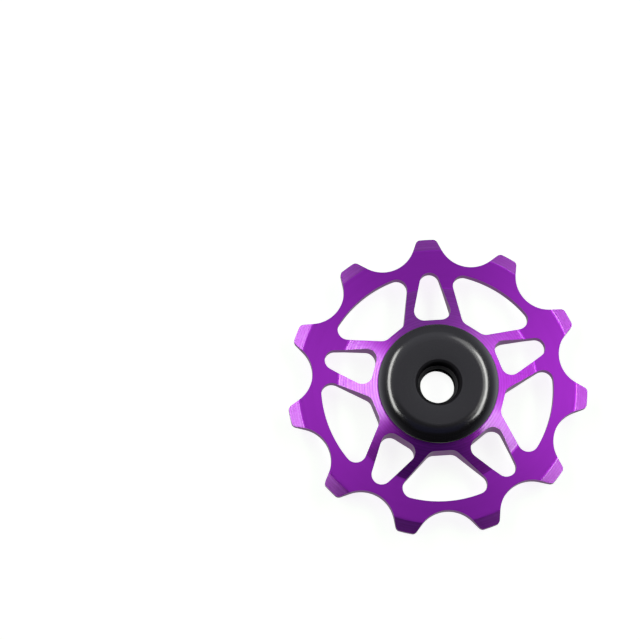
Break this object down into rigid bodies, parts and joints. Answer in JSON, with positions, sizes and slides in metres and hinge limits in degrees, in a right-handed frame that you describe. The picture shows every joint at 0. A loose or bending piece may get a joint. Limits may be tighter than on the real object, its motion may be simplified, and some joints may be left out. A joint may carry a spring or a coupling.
{
  "type": "derailleur pulley",
  "caption": "Toothed derailleur pulley: windowed anodised aluminium wheel on a sealed ball bearing, with round-edged side caps and an axle bolt bore.",
  "frame": {"origin": "on the axle bore's axis, at the wheel's middle plane", "axes": "+Z along the axle out of the front cap, +Y through the tooth that stands over a small window, +X completes the right-handed set"},
  "size_m": [0.0444, 0.044, 0.008],
  "materials": {
    "anodised_wheel": "violet anodised, turned faces with fine lathe lines",
    "anodised_cap": "satin black anodised",
    "bush_steel": "dark turned steel",
    "bearing_steel": "ground steel",
    "ball_steel": "polished balls",
    "cage_plastic": "moulded cage",
    "seal_rubber": "moulded rubber"
  },
  "bodies": {
    "axle": {"front_cap": "anodised_cap", "rear_cap": "anodised_cap", "spacer_bush": "bush_steel", "bearing_inner_ring": "bearing_steel"},
    "wheel": {"pulley_wheel": "anodised_wheel", "bearing_outer_ring": "bearing_steel", "front_seal": "seal_rubber", "rear_seal": "seal_rubber"},
    "cage": {"ball_cage": "cage_plastic"},
    "ball_1_body": {"ball_1": "ball_steel"},
    "ball_2_body": {"ball_2": "ball_steel"},
    "ball_3_body": {"ball_3": "ball_steel"},
    "ball_4_body": {"ball_4": "ball_steel"},
    "ball_5_body": {"ball_5": "ball_steel"},
    "ball_6_body": {"ball_6": "ball_steel"},
    "ball_7_body": {"ball_7": "ball_steel"},
    "ball_8_body": {"ball_8": "ball_steel"},
    "ball_9_body": {"ball_9": "ball_steel"},
    "ball_10_body": {"ball_10": "ball_steel"}
  },
  "joints": [
    {"name": "wheel_spin", "type": "hinge", "parent": "axle", "child": "wheel", "pos_m": [0, 0, 0], "axis": [0, 0, 1], "continuous": true},
    {"name": "cage_orbit", "type": "hinge", "parent": "axle", "child": "cage", "pos_m": [0, 0, 0], "axis": [0, 0, 1], "continuous": true},
    {"name": "ball_1_spin", "type": "hinge", "parent": "cage", "child": "ball_1_body", "pos_m": [0.006, 0, 0], "axis": [0, 0, 1], "continuous": true},
    {"name": "ball_2_spin", "type": "hinge", "parent": "cage", "child": "ball_2_body", "pos_m": [0.00485, 0.00353, 0], "axis": [0, 0, 1], "continuous": true},
    {"name": "ball_3_spin", "type": "hinge", "parent": "cage", "child": "ball_3_body", "pos_m": [0.00185, 0.00571, 0], "axis": [0, 0, 1], "continuous": true},
    {"name": "ball_4_spin", "type": "hinge", "parent": "cage", "child": "ball_4_body", "pos_m": [-0.00185, 0.00571, 0], "axis": [0, 0, 1], "continuous": true},
    {"name": "ball_5_spin", "type": "hinge", "parent": "cage", "child": "ball_5_body", "pos_m": [-0.00485, 0.00353, 0], "axis": [0, 0, 1], "continuous": true},
    {"name": "ball_6_spin", "type": "hinge", "parent": "cage", "child": "ball_6_body", "pos_m": [-0.006, 0, 0], "axis": [0, 0, 1], "continuous": true},
    {"name": "ball_7_spin", "type": "hinge", "parent": "cage", "child": "ball_7_body", "pos_m": [-0.00485, -0.00353, 0], "axis": [0, 0, 1], "continuous": true},
    {"name": "ball_8_spin", "type": "hinge", "parent": "cage", "child": "ball_8_body", "pos_m": [-0.00185, -0.00571, 0], "axis": [0, 0, 1], "continuous": true},
    {"name": "ball_9_spin", "type": "hinge", "parent": "cage", "child": "ball_9_body", "pos_m": [0.00185, -0.00571, 0], "axis": [0, 0, 1], "continuous": true},
    {"name": "ball_10_spin", "type": "hinge", "parent": "cage", "child": "ball_10_body", "pos_m": [0.00485, -0.00353, 0], "axis": [0, 0, 1], "continuous": true}
  ],
  "couplings": [
    {"joint": "cage_orbit", "follows": "wheel_spin", "ratio": 0.58333},
    {"joint": "ball_1_spin", "follows": "wheel_spin", "ratio": 2.9167},
    {"joint": "ball_2_spin", "follows": "wheel_spin", "ratio": 2.9167},
    {"joint": "ball_3_spin", "follows": "wheel_spin", "ratio": 2.9167},
    {"joint": "ball_4_spin", "follows": "wheel_spin", "ratio": 2.9167},
    {"joint": "ball_5_spin", "follows": "wheel_spin", "ratio": 2.9167},
    {"joint": "ball_6_spin", "follows": "wheel_spin", "ratio": 2.9167},
    {"joint": "ball_7_spin", "follows": "wheel_spin", "ratio": 2.9167},
    {"joint": "ball_8_spin", "follows": "wheel_spin", "ratio": 2.9167},
    {"joint": "ball_9_spin", "follows": "wheel_spin", "ratio": 2.9167},
    {"joint": "ball_10_spin", "follows": "wheel_spin", "ratio": 2.9167}
  ]
}
